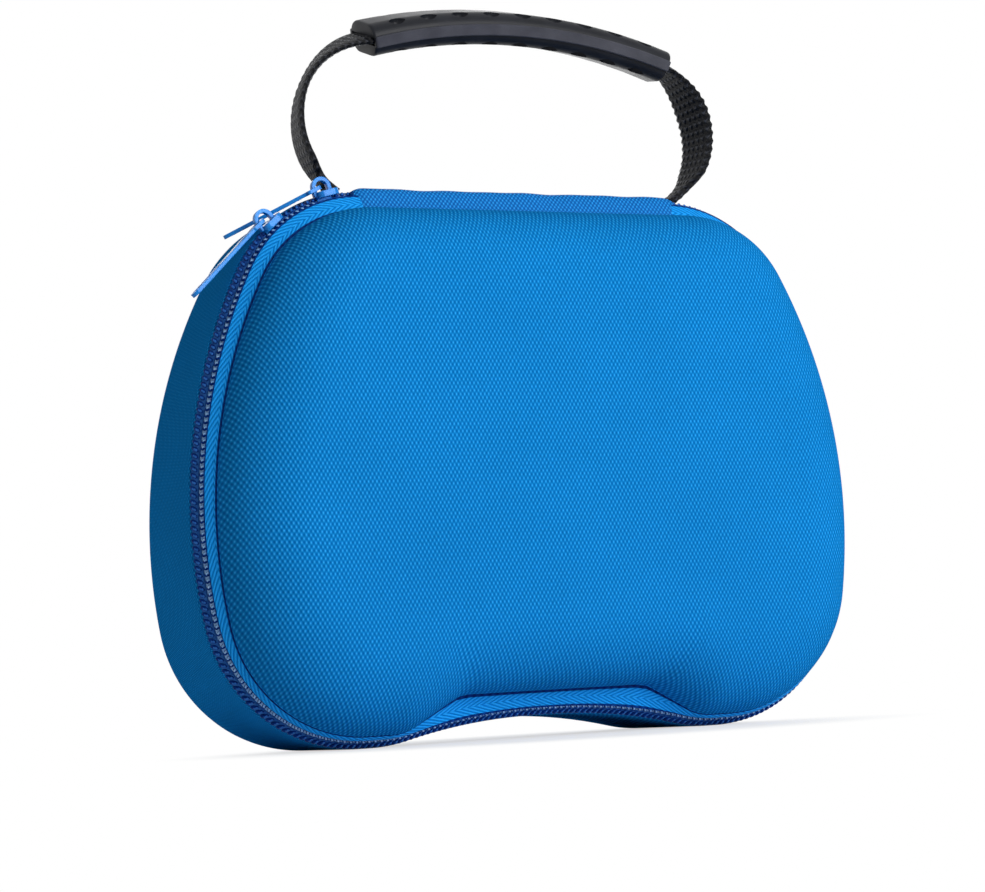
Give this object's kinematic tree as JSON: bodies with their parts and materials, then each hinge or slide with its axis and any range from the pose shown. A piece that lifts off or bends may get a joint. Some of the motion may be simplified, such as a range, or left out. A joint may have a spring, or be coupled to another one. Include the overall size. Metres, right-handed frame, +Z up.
{
  "type": "controller storage bag",
  "caption": "Hard-shell zip case with a domed front and back, a notched lower edge and a webbing carry handle, for storing a game controller.",
  "frame": {"origin": "on the surface it stands on, under the middle of the case, in the plane of the zip", "axes": "+Z up through the handle, +Y from the front shell to the rear shell, +X to the right seen from the front"},
  "size_m": [0.1868, 0.0771, 0.1935],
  "materials": {
    "shell_cloth": "woven cloth over moulded foam",
    "zip_tape": "herringbone weave",
    "zip_coil": "satin",
    "webbing": "woven",
    "grip_rubber": "moulded satin",
    "slider_paint": "gloss enamel"
  },
  "bodies": {
    "case": {"rear_shell": "shell_cloth", "rear_zip_tape": "zip_tape", "rear_zip_coil": "zip_coil", "spine_strip": "zip_tape", "handle_webbing": "webbing", "handle_grip": "grip_rubber"},
    "lid": {"front_shell": "shell_cloth", "front_zip_tape": "zip_tape", "front_zip_coil": "zip_coil"},
    "lower_slider": {"lower_slider": "slider_paint"},
    "lower_pull": {"lower_pull": "slider_paint"},
    "upper_slider": {"upper_slider": "slider_paint"},
    "upper_pull": {"upper_pull": "slider_paint"}
  },
  "joints": [
    {"name": "lid_hinge", "type": "hinge", "parent": "case", "child": "lid", "pos_m": [0, 0, 0.14348], "axis": [-1, 0, 0], "range_deg": [0, 95], "deforming": ["spine_strip"]},
    {"name": "lower_slider_travel", "type": "hinge", "parent": "case", "child": "lower_slider", "pos_m": [-0.045, 0, 0.10648], "axis": [0, -1, 0], "range_deg": [0, 24]},
    {"name": "lower_pull_swing", "type": "hinge", "parent": "lower_slider", "child": "lower_pull", "pos_m": [-0.07087, 0, 0.13472], "axis": [0, 1, 0], "range_deg": [0, 100]},
    {"name": "upper_slider_travel", "type": "hinge", "parent": "case", "child": "upper_slider", "pos_m": [-0.045, 0, 0.10648], "axis": [0, -1, 0], "range_deg": [0, 2]},
    {"name": "upper_pull_swing", "type": "hinge", "parent": "upper_slider", "child": "upper_pull", "pos_m": [-0.05491, 0, 0.14347], "axis": [0, 1, 0], "range_deg": [0, 85]}
  ]
}
